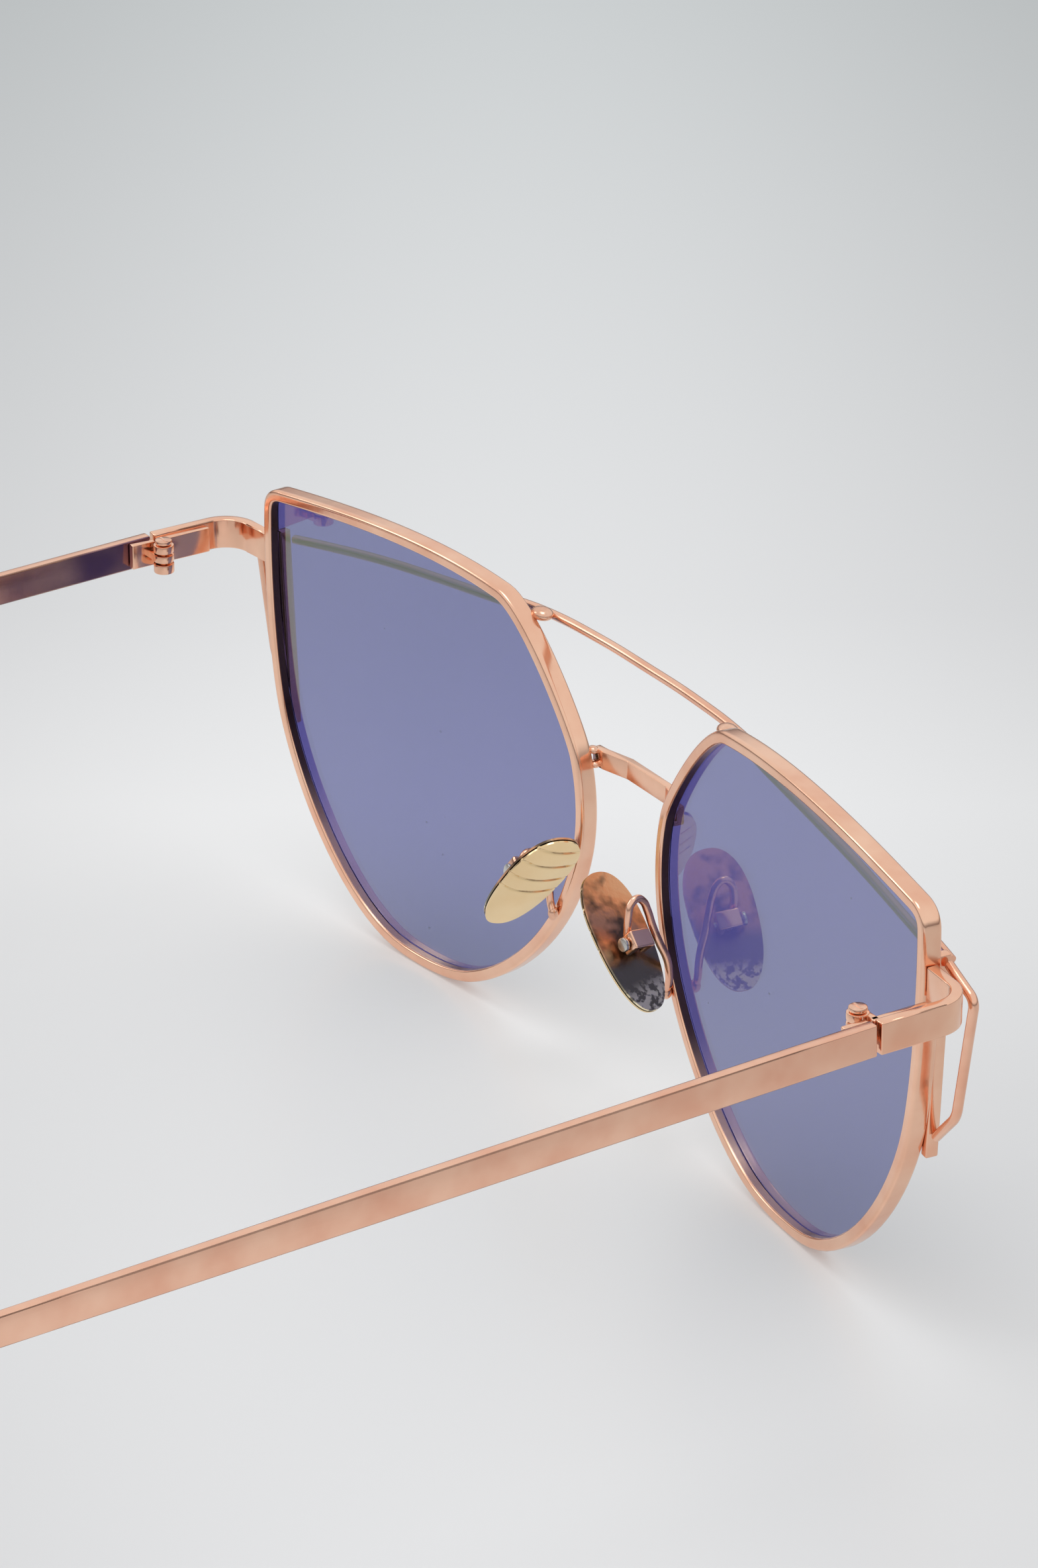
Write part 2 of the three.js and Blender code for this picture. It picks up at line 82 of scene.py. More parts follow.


# %% [markdown]
# ## From a shape to a finished piece
# Each piece starts as a bmesh, Blender's editable mesh, in drawing millimetres times 0.001. One
# helper mirrors it, moves it, turns its faces outwards, keeps its edges crisp above a chosen
# angle, hangs it on the part of the frame it moves with, and hides the imported parts it stands for.

# %% The helper that settles a piece
def settle(shape, name, body, nodes, finish, place=Matrix(), side="left", crease=35):
    bmesh.ops.remove_doubles(shape, verts=shape.verts[:], dist=1e-7)
    shape.transform(half(side) @ TO_ROW @ place)
    bmesh.ops.recalc_face_normals(shape, faces=shape.faces[:])
    mesh = bpy.data.meshes.new(name)
    shape.to_mesh(mesh)
    shape.free()
    mesh.shade_smooth()
    mesh.set_sharp_from_angle(angle=math.radians(crease))
    mesh.materials.append(finish)
    piece = bpy.data.objects.new(name, mesh)
    bpy.context.collection.objects.link(piece)
    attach(piece, body)
    if nodes:
        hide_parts(*nodes)
    print(name, len(mesh.polygons), "faces")
    return piece


# %% [markdown]
# ## Shader helpers
# A material is a small network of nodes. Effects that several materials share are node groups
# with named sockets, so that each material can give them its own numbers.

# %% Make groups and materials
def start_group(name, inputs, outputs):
    group = bpy.data.node_groups.new(name, "ShaderNodeTree")
    for label, kind, value in inputs:
        socket = group.interface.new_socket(name=label, in_out="INPUT", socket_type=kind)
        socket.default_value = value
    for label, kind in outputs:
        group.interface.new_socket(name=label, in_out="OUTPUT", socket_type=kind)
    return group, group.nodes.new("NodeGroupInput"), group.nodes.new("NodeGroupOutput")


def start_material(name, **values):
    material = bpy.data.materials.new(name)
    material.use_nodes = True
    shader = material.node_tree.nodes["Principled BSDF"]
    for label, value in values.items():
        shader.inputs[label.replace("_", " ")].default_value = value
    return material, material.node_tree, shader


def add_node(tree, kind, inputs=None, **settings):
    node = tree.nodes.new(kind)
    for key, value in settings.items():
        setattr(node, key, value)
    for key, value in (inputs or {}).items():
        node.inputs[key].default_value = value
    return node


def place_group(tree, group, **values):
    node = add_node(tree, "ShaderNodeGroup", node_tree=group)
    for label, value in values.items():
        node.inputs[label.replace("_", " ")].default_value = value
    return node


FLOAT = "NodeSocketFloat"
COLOR = "NodeSocketColor"

# %% [markdown]
# ## Plated metal
# Rose gold here is a thin copper-pink plating over a polished base. It is never perfectly even:
# the tone drifts over a few millimetres, the polish leaves a fine haze, and the surface waves a
# little under the mirror. Three noise textures at three sizes give those three effects.

# %% The plating group
plating, given, made = start_group(
    "plating",
    [("Tone", COLOR, (0.8, 0.4, 0.3, 1)), ("Deep Tone", COLOR, (0.7, 0.3, 0.2, 1)),
     ("Polish", FLOAT, 0.12), ("Haze", FLOAT, 0.1), ("Drift Size", FLOAT, 150.0)],
    [("Color", COLOR), ("Roughness", FLOAT), ("Height", FLOAT)],
)
link = plating.links.new
spot = add_node(plating, "ShaderNodeTexCoord")
drift = add_node(plating, "ShaderNodeTexNoise", {"Detail": 3.0, "Roughness": 0.55})
link(spot.outputs["Object"], drift.inputs["Vector"])
link(given.outputs["Drift Size"], drift.inputs["Scale"])
spread = add_node(plating, "ShaderNodeMapRange", {"From Min": 0.35, "From Max": 0.75})
link(drift.outputs["Fac"], spread.inputs["Value"])
toned = add_node(plating, "ShaderNodeMix", data_type="RGBA")
link(spread.outputs["Result"], toned.inputs["Factor"])
link(given.outputs["Tone"], toned.inputs[6])
link(given.outputs["Deep Tone"], toned.inputs[7])
link(toned.outputs[2], made.inputs["Color"])
grain = add_node(plating, "ShaderNodeTexNoise",
                 {"Scale": 1800.0, "Detail": 4.0, "Roughness": 0.65})
link(spot.outputs["Object"], grain.inputs["Vector"])
hazed = add_node(plating, "ShaderNodeMath", operation="MULTIPLY_ADD")
link(grain.outputs["Fac"], hazed.inputs[0])
link(given.outputs["Haze"], hazed.inputs[1])
link(given.outputs["Polish"], hazed.inputs[2])
link(hazed.outputs["Value"], made.inputs["Roughness"])
wave = add_node(plating, "ShaderNodeTexNoise", {"Scale": 420.0, "Detail": 1.0})
link(spot.outputs["Object"], wave.inputs["Vector"])
uneven = add_node(plating, "ShaderNodeMath", {1: 0.18}, operation="MULTIPLY_ADD")
link(grain.outputs["Fac"], uneven.inputs[0])
link(wave.outputs["Fac"], uneven.inputs[2])
link(uneven.outputs["Value"], made.inputs["Height"])

# %% [markdown]
# Hairlines are the faint parallel scratches of a polishing wheel. Noise becomes lines when its
# space is stretched along the direction of the wheel.

# %% The hairline group
hairlines, given, made = start_group(
    "hairlines", [("Depth", FLOAT, 1.0), ("Fineness", FLOAT, 3000.0)], [("Height", FLOAT)]
)
link = hairlines.links.new
spot = add_node(hairlines, "ShaderNodeTexCoord")
stretch = add_node(hairlines, "ShaderNodeMapping", {"Scale": (1.0, 0.02, 1.0)})
link(spot.outputs["Object"], stretch.inputs["Vector"])
lines = add_node(hairlines, "ShaderNodeTexNoise", {"Detail": 2.0})
link(stretch.outputs["Vector"], lines.inputs["Vector"])
link(given.outputs["Fineness"], lines.inputs["Scale"])
deep = add_node(hairlines, "ShaderNodeMath", operation="MULTIPLY")
link(lines.outputs["Fac"], deep.inputs[0])
link(given.outputs["Depth"], deep.inputs[1])
link(deep.outputs["Value"], made.inputs["Height"])

# %% [markdown]
# Dust is what a smooth dark surface shows first. A cell texture gives one random distance per
# cell, and only the very middle of a few cells is kept, as a speck.

# %% The dust group
dust, given, made = start_group(
    "dust", [("Cells", FLOAT, 400.0), ("Speck Size", FLOAT, 0.08)], [("Mask", FLOAT)]
)
link = dust.links.new
spot = add_node(dust, "ShaderNodeTexCoord")
cells = add_node(dust, "ShaderNodeTexVoronoi")
link(spot.outputs["Object"], cells.inputs["Vector"])
link(given.outputs["Cells"], cells.inputs["Scale"])
speck = add_node(dust, "ShaderNodeMath", operation="LESS_THAN")
link(cells.outputs["Distance"], speck.inputs[0])
link(given.outputs["Speck Size"], speck.inputs[1])
few = add_node(dust, "ShaderNodeMath", {1: 0.8}, operation="GREATER_THAN")
link(cells.outputs["Color"], few.inputs[0])
kept = add_node(dust, "ShaderNodeMath", operation="MULTIPLY")
link(speck.outputs["Value"], kept.inputs[0])
link(few.outputs["Value"], kept.inputs[1])
link(kept.outputs["Value"], made.inputs["Mask"])

# %% [markdown]
# ## The metals
# One function makes every plated finish from its own tones and polish.

# %% Metal finishes
def plated(name, tone, deep, polish=0.1, haze=0.1, drift_size=150.0, bump=0.12, lines=0.0):
    material, tree, shader = start_material(name, Metallic=1.0)
    coat = place_group(tree, plating, Tone=(*tone, 1), Deep_Tone=(*deep, 1), Polish=polish,
                       Haze=haze, Drift_Size=drift_size)
    tree.links.new(coat.outputs["Color"], shader.inputs["Base Color"])
    tree.links.new(coat.outputs["Roughness"], shader.inputs["Roughness"])
    relief = add_node(tree, "ShaderNodeBump", {"Strength": bump, "Distance": 0.00012})
    height = coat.outputs["Height"]
    if lines:
        brushed = place_group(tree, hairlines, Depth=lines)
        both = add_node(tree, "ShaderNodeMath", operation="ADD")
        tree.links.new(height, both.inputs[0])
        tree.links.new(brushed.outputs["Height"], both.inputs[1])
        height = both.outputs["Value"]
    tree.links.new(height, relief.inputs["Height"])
    tree.links.new(relief.outputs["Normal"], shader.inputs["Normal"])
    return material


rose_gold = plated("rose gold", (0.95, 0.60, 0.43), (0.86, 0.46, 0.31), 0.12, 0.08)
rose_wire = plated("rose gold wire", (0.94, 0.58, 0.42), (0.84, 0.43, 0.29), 0.15, 0.08)
temple_gold = plated("rose gold temple", (0.94, 0.58, 0.42), (0.85, 0.45, 0.31), 0.15, 0.10,
                     lines=0.5)
solder = plated("solder", (0.95, 0.62, 0.46), (0.70, 0.36, 0.24), 0.14, 0.12, 500.0, 0.4)
pad_gold = plated("pad gold", (0.90, 0.70, 0.42), (0.84, 0.61, 0.33), 0.12, 0.08)
bright_steel = plated("bright steel", (0.72, 0.71, 0.68), (0.55, 0.54, 0.52), 0.18, 0.15, 600.0)

# %% [markdown]
# Three finishes change along the piece. The backs of the pads carry a painted reflection, brown in
# patches and grey towards the hammered foot, with painted gold glints there. The inner faces of the
# temples carry a painted dark reflection with warm patches. The groove that holds each lens has a
# painted dark reflection at the sides and is bright above and below. A map range turns a position
# into each change.

# %% Finishes that change along the piece
def place_in(tree):
    """The place on the piece as a vector socket, and the node that splits it into X, Y and Z."""
    spot = add_node(tree, "ShaderNodeTexCoord")
    parts = add_node(tree, "ShaderNodeSeparateXYZ")
    tree.links.new(spot.outputs["Object"], parts.inputs["Vector"])
    return spot.outputs["Object"], parts


def change_between(tree, value, low, high, how="LINEAR"):
    """A factor that runs from 0 to 1 as the value goes from low to high."""
    change = add_node(tree, "ShaderNodeMapRange", {"From Min": low, "From Max": high},
                      interpolation_type=how)
    tree.links.new(value, change.inputs["Value"])
    return change.outputs["Result"]


def size_of(tree, value):
    unsigned = add_node(tree, "ShaderNodeMath", operation="ABSOLUTE")
    tree.links.new(value, unsigned.inputs[0])
    return unsigned.outputs["Value"]


def blend(tree, factor, first, second):
    mix = add_node(tree, "ShaderNodeMix", data_type="RGBA")
    tree.links.new(factor, mix.inputs["Factor"])
    for socket, colour in ((mix.inputs[6], first), (mix.inputs[7], second)):
        if isinstance(colour, tuple):
            socket.default_value = (*colour, 1)
        else:
            tree.links.new(colour, socket)
    return mix.outputs[2]


# %% Backs of the pads, with painted reflections and glints
pad_back_painted, tree, shader = start_material("pad back painted reflection", Metallic=1.0, Roughness=0.3)
spot, parts = place_in(tree)
patches = add_node(tree, "ShaderNodeTexNoise", {"Scale": 330.0, "Detail": 2.5, "Roughness": 0.55})
tree.links.new(spot, patches.inputs["Vector"])
patchy = change_between(tree, patches.outputs["Fac"], 0.44, 0.60)
# Painted reflection: brown patches and dark blotches on the upper back.
upper = blend(tree, patchy, (0.72, 0.38, 0.21), (0.14, 0.10, 0.07))
rise = change_between(tree, parts.outputs["Z"], 0.0215, 0.0238, "SMOOTHSTEP")
# Painted reflection: dark grey towards the foot, below the brown.
painted_reflection_tone = blend(tree, rise, (0.22, 0.19, 0.14), upper)
# Painted glints: bright gold specks near the foot.
foot = change_between(tree, parts.outputs["Z"], 0.0203, 0.0188, "SMOOTHSTEP")
painted_glint_noise = add_node(tree, "ShaderNodeTexNoise", {"Scale": 1300.0, "Detail": 2.0})
tree.links.new(spot, painted_glint_noise.inputs["Vector"])
painted_glint_mask = add_node(tree, "ShaderNodeMath", operation="MULTIPLY")
tree.links.new(foot, painted_glint_mask.inputs[0])
tree.links.new(change_between(tree, painted_glint_noise.outputs["Fac"], 0.44, 0.54), painted_glint_mask.inputs[1])
back_with_painted_glints = blend(tree, painted_glint_mask.outputs["Value"], painted_reflection_tone, (0.98, 0.86, 0.60))
tree.links.new(back_with_painted_glints, shader.inputs["Base Color"])
hammer = add_node(tree, "ShaderNodeTexNoise", {"Scale": 1500.0, "Detail": 2.0})
tree.links.new(spot, hammer.inputs["Vector"])
dented = add_node(tree, "ShaderNodeBump", {"Strength": 0.25, "Distance": 0.00015})
tree.links.new(hammer.outputs["Fac"], dented.inputs["Height"])
tree.links.new(dented.outputs["Normal"], shader.inputs["Normal"])

# %% Inner faces of the temples, with a painted dark reflection
tree, shader = temple_gold.node_tree, temple_gold.node_tree.nodes["Principled BSDF"]
plain = shader.inputs["Base Color"].links[0].from_socket
spot, parts = place_in(tree)
inner = change_between(tree, size_of(tree, parts.outputs["X"]), 0.07275, 0.07260)
painted_reflection_noise = add_node(tree, "ShaderNodeTexNoise", {"Scale": 70.0, "Detail": 2.0})
tree.links.new(spot, painted_reflection_noise.inputs["Vector"])
painted_reflection_patches = change_between(tree, painted_reflection_noise.outputs["Fac"], 0.46, 0.62)
# Painted reflection: dark violet on the inner face, with warm patches.
painted_inner_reflection = blend(tree, painted_reflection_patches, (0.20, 0.11, 0.16), (0.62, 0.36, 0.26))
tree.links.new(blend(tree, inner, plain, painted_inner_reflection), shader.inputs["Base Color"])

# %% The groove round each lens, with a painted dark reflection at the sides
groove_metal, tree, shader = start_material("groove metal", Metallic=1.0)
coat = place_group(tree, plating, Tone=(0.93, 0.62, 0.48, 1), Deep_Tone=(0.85, 0.5, 0.38, 1),
                   Polish=0.2)
_, parts = place_in(tree)
from_eye = add_node(tree, "ShaderNodeMath", {1: LENS_X * MM}, operation="SUBTRACT")
tree.links.new(size_of(tree, parts.outputs["X"]), from_eye.inputs[0])
sides = change_between(tree, size_of(tree, from_eye.outputs["Value"]), 0.016, 0.023, "SMOOTHSTEP")
# Painted reflection: the groove turns dark at both sides of the lens.
painted_dark_sides = blend(tree, sides, coat.outputs["Color"], (0.11, 0.062, 0.062))
tree.links.new(painted_dark_sides, shader.inputs["Base Color"])
tree.links.new(coat.outputs["Roughness"], shader.inputs["Roughness"])
print("metals made:", [m.name for m in bpy.data.materials])

# %% [markdown]
# ## The lens tint
# A tinted lens is glass that colours what passes through it, and its back gives a weak mirror
# view with a slight green cast from its anti-glare layer. A real transmission shader does both:
# the floor shines through violet, and the pads show as dark ghosts in it.

# %% Lens finish
lens_tint, tree, shader = start_material(
    "lens tint", Roughness=0.02, IOR=2.35, Transmission_Weight=1.0,
    Specular_Tint=(0.86, 1.0, 0.58, 1)
)
spot = add_node(tree, "ShaderNodeTexCoord")
cloud = add_node(tree, "ShaderNodeTexNoise", {"Scale": 30.0, "Detail": 1.0})
tree.links.new(spot.outputs["Object"], cloud.inputs["Vector"])
tint = add_node(tree, "ShaderNodeMix", data_type="RGBA")
tint.inputs[6].default_value = (0.13, 0.13, 0.41, 1)
tint.inputs[7].default_value = (0.16, 0.15, 0.45, 1)
tree.links.new(cloud.outputs["Fac"], tint.inputs["Factor"])
specks = place_group(tree, dust, Cells=350.0, Speck_Size=0.05)
dusty = add_node(tree, "ShaderNodeMath", {1: 0.35, 2: 0.02}, operation="MULTIPLY_ADD")
tree.links.new(specks.outputs["Mask"], dusty.inputs[0])
tree.links.new(tint.outputs[2], shader.inputs["Base Color"])
tree.links.new(dusty.outputs["Value"], shader.inputs["Roughness"])

# %% Ear tip finish
tip_plastic, tree, shader = start_material(
    "blush plastic", IOR=1.48
)
spot = add_node(tree, "ShaderNodeTexCoord")
swirl = add_node(tree, "ShaderNodeTexNoise", {"Scale": 90.0, "Detail": 3.0, "Distortion": 0.6})
tree.links.new(spot.outputs["Object"], swirl.inputs["Vector"])
blush = add_node(tree, "ShaderNodeMix", data_type="RGBA")
blush.inputs[6].default_value = (0.70, 0.37, 0.30, 1)
blush.inputs[7].default_value = (0.60, 0.29, 0.23, 1)
tree.links.new(swirl.outputs["Fac"], blush.inputs["Factor"])
specks = place_group(tree, dust, Cells=500.0, Speck_Size=0.06)
matt = add_node(tree, "ShaderNodeMath", {1: 0.3, 2: 0.22}, operation="MULTIPLY_ADD")
tree.links.new(specks.outputs["Mask"], matt.inputs[0])
tree.links.new(matt.outputs["Value"], shader.inputs["Roughness"])
tree.links.new(blush.outputs[2], shader.inputs["Base Color"])
moulded = add_node(tree, "ShaderNodeBump", {"Strength": 0.08, "Distance": 0.0001})
tree.links.new(swirl.outputs["Fac"], moulded.inputs["Height"])
tree.links.new(moulded.outputs["Normal"], shader.inputs["Normal"])

# %% [markdown]
# ## Wires and sweeps
# A wire is a circle swept along a line. Blender's curve object does this well, so each wire is
# drawn as a Bezier curve, given a round bevel, and turned into a mesh.

# %% Sweep helpers
def curve_mesh(curve):
    holder = bpy.data.objects.new("holder", curve)
    bpy.context.collection.objects.link(holder)
    graph = bpy.context.evaluated_depsgraph_get()
    flat = bpy.data.meshes.new_from_object(holder.evaluated_get(graph))
    shape = bmesh.new()
    shape.from_mesh(flat)
    bpy.data.objects.remove(holder)
    bpy.data.meshes.remove(flat)
    return shape


def draw_spline(curve, knots, closed=False):
    spline = curve.splines.new("BEZIER")
    spline.bezier_points.add(len(knots) - 1)
    for point, knot in zip(spline.bezier_points, knots):
        point.co = knot[0]
        if len(knot) == 1:
            point.handle_left_type = point.handle_right_type = "AUTO"
        else:
            point.handle_left_type = point.handle_right_type = "FREE"
            point.handle_left, point.handle_right = knot[1], knot[2]
    spline.use_cyclic_u = closed
    return spline


def wire(knots, radius, steps=16):
    curve = bpy.data.curves.new("wire", "CURVE")
    curve.dimensions = "3D"
    curve.resolution_u = steps
    curve.bevel_depth = radius * MM
    curve.bevel_resolution = 5
    curve.use_fill_caps = True
    draw_spline(curve, knots)
    return curve_mesh(curve)


def rounded(points, radius):
    """Knots for straight lines through the points, with each inner corner turned on a radius."""
    knots = [(points[0], points[0], points[0].lerp(points[1], 0.3))]
    for before, corner, after in zip(points, points[1:], points[2:]):
        entry = corner + (before - corner).normalized() * radius * MM
        leave = corner + (after - corner).normalized() * radius * MM
        knots.append((entry, entry.lerp(before, 0.3), entry.lerp(corner, 0.6)))
        knots.append((leave, leave.lerp(corner, 0.6), leave.lerp(after, 0.3)))
    knots.append((points[-1], points[-1].lerp(points[-2], 0.3), points[-1]))
    return knots


# %% [markdown]
# ## The lens outline
# Both the rim and the lens follow one closed outline: nearly straight along the brow, sharp at
# the outer corner, slanting at the nose and round at the foot. It is drawn once as Bezier knots.

# %% Outline of the opening
KNOTS = [
    ((-14.5, 23.7), (-1.9, 24.93), (-18.7, 22.93)),
    ((-27.8, 9.1), (-26.9, 12.1), (-28.9, 6.0)),
    ((-28.3, -2.3), (-28.9, 1.9), (-25.3, -12.1)),
    ((-9.4, -24.55), (-17.3, -21.0), (-5.6, -26.0)),
    ((2.8, -25.95), (-0.9, -26.2), (14.0, -25.1)),
    ((25.3, -3.25), (22.9, -11.6), (26.8, 2.8)),
    ((27.35, 20.5), (27.65, 13.0), (27.32, 21.5)),
    ((25.6, 22.1), (26.73, 21.95), (13.1, 23.85)),
]


def outline_curve(name, steps):
    curve = bpy.data.curves.new(name, "CURVE")
    curve.dimensions = "2D"
    curve.resolution_u = steps
    knots = []
    for spot, left, right in KNOTS:
        centre, back, ahead = mm(*spot, 0), mm(*left, 0), mm(*right, 0)
        along = ((ahead - centre).normalized() - (back - centre).normalized()).normalized()
        knots.append((centre, centre - along * (back - centre).length,
                      centre + along * (ahead - centre).length))
    draw_spline(curve, knots, closed=True)
    return curve


print("outline knots:", len(KNOTS))

# %% [markdown]
# ## Rims
# A rim is one drawn metal strip bent round the lens, with a lip behind and a seat that the lens
# drops into. Its cross section is swept along the outline, so the rounded lips run unbroken all
# the way round. Two thin rings line the groove behind the lens and round its edge, with a painted
# dark reflection at their sides. Each section is listed as corners of (outwards, forwards, corner
# radius).

# %% Rims
RIM_SECTION = [
    (0.0, 0.0, 0.26), (1.37, 0.0, 0.42), (1.37, 2.3, 0.42),
    (0.7, 2.3, 0.2), (0.7, 1.0, 0.1), (0.0, 1.0, 0.12),
]


SEAT_SECTION = [(0.42, 1.16, 0.03), (0.67, 1.16, 0.03), (0.67, 2.22, 0.03), (0.42, 2.22, 0.03)]
GROOVE_SECTION = [(-0.03, 0.22, 0.03), (0.3, 0.22, 0.03), (0.3, 1.12, 0.03), (-0.03, 1.12, 0.03)]


def section_curve(corner_list):
    curve = bpy.data.curves.new("rim section", "CURVE")
    curve.dimensions = "2D"
    corners = [mm(-x, y, 0) for x, y, _ in corner_list]  # the sweep turns x inwards
    knots = []
    for i, corner in enumerate(corners):
        before, after = corners[i - 1], corners[(i + 1) % len(corners)]
        radius = corner_list[i][2] * MM
        entry = corner + (before - corner).normalized() * radius
        leave = corner + (after - corner).normalized() * radius
        knots.append((entry, entry, entry.lerp(corner, 0.55)))
        knots.append((leave, leave.lerp(corner, 0.55), leave))
    draw_spline(curve, knots, closed=True)
    curve.resolution_u = 4
    holder = bpy.data.objects.new("rim section", curve)
    bpy.context.collection.objects.link(holder)
    return holder


def sweep_round(section, steps):
    path = outline_curve("rim path", steps)
    path.bevel_mode = "OBJECT"
    path.bevel_object = section
    path.fill_mode = "NONE"
    return curve_mesh(path)


section = section_curve(RIM_SECTION)
groove = section_curve(GROOVE_SECTION)
seat = section_curve(SEAT_SECTION)
for side in SIDES:
    rim = sweep_round(section, 20)
    settle(rim, "polished_rim_" + side, "front", ["rim_" + side], rose_gold,
           EYE @ STAND, side)
    liner = sweep_round(groove, 16)
    settle(liner, "lens_groove_" + side, "front", [], groove_metal,
           EYE @ STAND, side)
    ledge = sweep_round(seat, 16)
    settle(ledge, "lens_seat_" + side, "front", [], groove_metal, EYE @ STAND, side)
bpy.data.objects.remove(section)
bpy.data.objects.remove(groove)
bpy.data.objects.remove(seat)

# %% [markdown]
# ## Lenses
# Each lens is a flat plate cut to the same outline, a little larger than the opening, with its
# rim eased so that no sharp glass edge shows.

# %% Lenses
LENS_REAR = 1.2
LENS_THICKNESS = 1.2
LENS_LAP = 0.25
LENS_EASE = 0.12
for side in SIDES:
    plate = outline_curve("lens plate", 16)
    plate.fill_mode = "BOTH"
    plate.extrude = (LENS_THICKNESS / 2 - LENS_EASE) * MM
    plate.bevel_depth = LENS_EASE * MM
    plate.bevel_resolution = 2
    plate.offset = LENS_LAP * MM
    lens = curve_mesh(plate)
    drop = Matrix.Translation(mm(0, 0, LENS_REAR + LENS_THICKNESS / 2))
    settle(lens, "tinted_lens_" + side, "front", ["lens_" + side], lens_tint,
           EYE @ STAND @ drop, side, 8)

# %% [markdown]
# ## Brow wire
# One thin round wire runs in front of both lenses from side to side and arches a little over
# the nose. It is brazed to each rim at the inner top corner with a small bead of solder.

# %% Brow wire and its solder
WIRE_RADIUS = 0.55
WIRE_DEPTH = 4.35
BROW = [(9.5, 22.6, 3.85), (19.4, 22.3, 4.35), (28.7, 21.3, 4.35), (37.2, 20.4, 4.35),
        (47.0, 19.2, 4.35), (57.2, 17.5, 4.35), (64.6, 16.1, 4.35)]


def brow_point(x, z, depth=WIRE_DEPTH):
    return mm(x, rim_plane(x) - depth, z)


left_brow = [(brow_point(x, z, d),) for x, z, d in BROW]
right_brow = [(brow_point(-x, z, d),) for x, z, d in reversed(BROW)]
brow = wire([*right_brow, (mm(0, -7.0, 22.6),), *left_brow], WIRE_RADIUS)
settle(brow, "round_brow_wire", "front", ["brow_wire"], rose_wire)


def bead(size, spot, turn=Matrix()):
    shape = bmesh.new()
    bmesh.ops.create_icosphere(shape, subdivisions=3, radius=1.0)
    bmesh.ops.scale(shape, vec=mm(*size), verts=shape.verts[:])
    shape.transform(Matrix.Translation(spot) @ turn)
    return shape


for side in SIDES:
    turn = Matrix.Rotation(WRAP, 4, "Z")
    blob = bead((1.5, 1.15, 0.75), brow_point(18.4, 22.75, 3.05), turn)
    settle(blob, "brow_solder_" + side, "front", ["brow_post_" + side], solder,
           side=side)

# %% [markdown]
# ## Side bar and open loop
# Outside each lens a slim upright bar stands in front of the rim, and the wire goes on past it
# into an open loop. The bar is a cube stretched and bevelled, and the loop is a wire with tight
# corners.

# %% Side bars and loops
def block(size, bevel=0.15, segments=3):
    shape = bmesh.new()
    bmesh.ops.create_cube(shape, size=1.0)
    bmesh.ops.scale(shape, vec=mm(*size), verts=shape.verts[:])
    bmesh.ops.bevel(shape, geom=shape.edges[:], offset=bevel * MM, segments=segments,
                    profile=0.5, affect="EDGES", material=-1)
    return shape


BAR_TOP, BAR_FOOT = Vector((64.9, 17.5)), Vector((63.3, -6.5))
lean = math.atan2(BAR_TOP.x - BAR_FOOT.x, BAR_TOP.y - BAR_FOOT.y)
LOOP = [(66.1, 16.5), (71.3, 14.8), (68.4, 0.2), (64.5, -3.9)]
LOOP_DEPTH = 3.2
LOOP_CORNER = 1.1
BAR_SIZE = (1.1, 1.45)
BAR_Y = -3.0
for side in SIDES:
    bar = block((*BAR_SIZE, (BAR_TOP - BAR_FOOT).length), 0.18)
    middle = (BAR_TOP + BAR_FOOT) / 2
    stand = Matrix.Translation(mm(middle.x - LENS_X, BAR_Y, middle.y))
    stand = stand @ Matrix.Rotation(lean, 4, "Y")
    settle(bar, "upright_bar_" + side, "front", ["side_bar_" + side], rose_gold,
           EYE @ stand, side)
    corners = [brow_point(x, z, LOOP_DEPTH) for x, z in LOOP]
    loop = wire(rounded(corners, LOOP_CORNER), WIRE_RADIUS)
    settle(loop, "open_loop_" + side, "front", ["side_loop_" + side], rose_wire,
           side=side)

# %% [markdown]
# ## Lower bridge
# The lower bridge is a flat strap folded forwards at four lines, with a foot brazed to the front
# of each rim. A cut face extruded along the strap would need each fold worked out, so the strap
# starts as its outline seen from above and is raised to its height, then every edge is eased.

# %% Lower bridge
REAR = [(9.2, -5.85), (7.4, -6.0), (3.8, -6.9)]


def raised(points, bottom, top, bevel=0.15, segments=3):
    shape = bmesh.new()
    corners = [shape.verts.new(mm(x, y, bottom)) for x, y in points]
    base = shape.faces.new(corners)
    pushed = bmesh.ops.extrude_face_region(shape, geom=[base])
    moved = [v for v in pushed["geom"] if isinstance(v, bmesh.types.BMVert)]
    bmesh.ops.translate(shape, vec=mm(0, 0, top - bottom), verts=moved)
    bmesh.ops.recalc_face_normals(shape, faces=shape.faces[:])
    if bevel:
        bmesh.ops.bevel(shape, geom=shape.edges[:], offset=bevel * MM, segments=segments,
                        profile=0.5, affect="EDGES", material=-1)
    return shape


front_line = [(-9.2, -6.85), (-7.6, -7.0), (-4.0, -7.88), (4.0, -7.88), (7.6, -7.0), (9.2, -6.85)]
strap = raised([*REAR, *[(-x, y) for x, y in reversed(REAR)], *front_line], 7.75, 9.95, 0.12)
settle(strap, "folded_bridge", "front", ["lower_bridge"], rose_gold, crease=25)
for side in SIDES:
    for i, (x, z) in enumerate([(8.6, 8.1), (8.9, 9.7)]):
        blob = bead((0.75, 0.6, 0.45), mm(x, -5.75, z))
        settle(blob, f"bridge_solder_{side}_{i}", "front", [], solder, side=side)

# %% [markdown]
# ## End pieces
# The end piece leaves the rim sideways and turns back to the hinge. Its end face is a rectangle,
# extruded a short way, spun through the turn and extruded again.

# %% End pieces
STRIP_HEIGHT = 3.6
STRIP_THICKNESS = 1.3
TEMPLE_X = 73.2


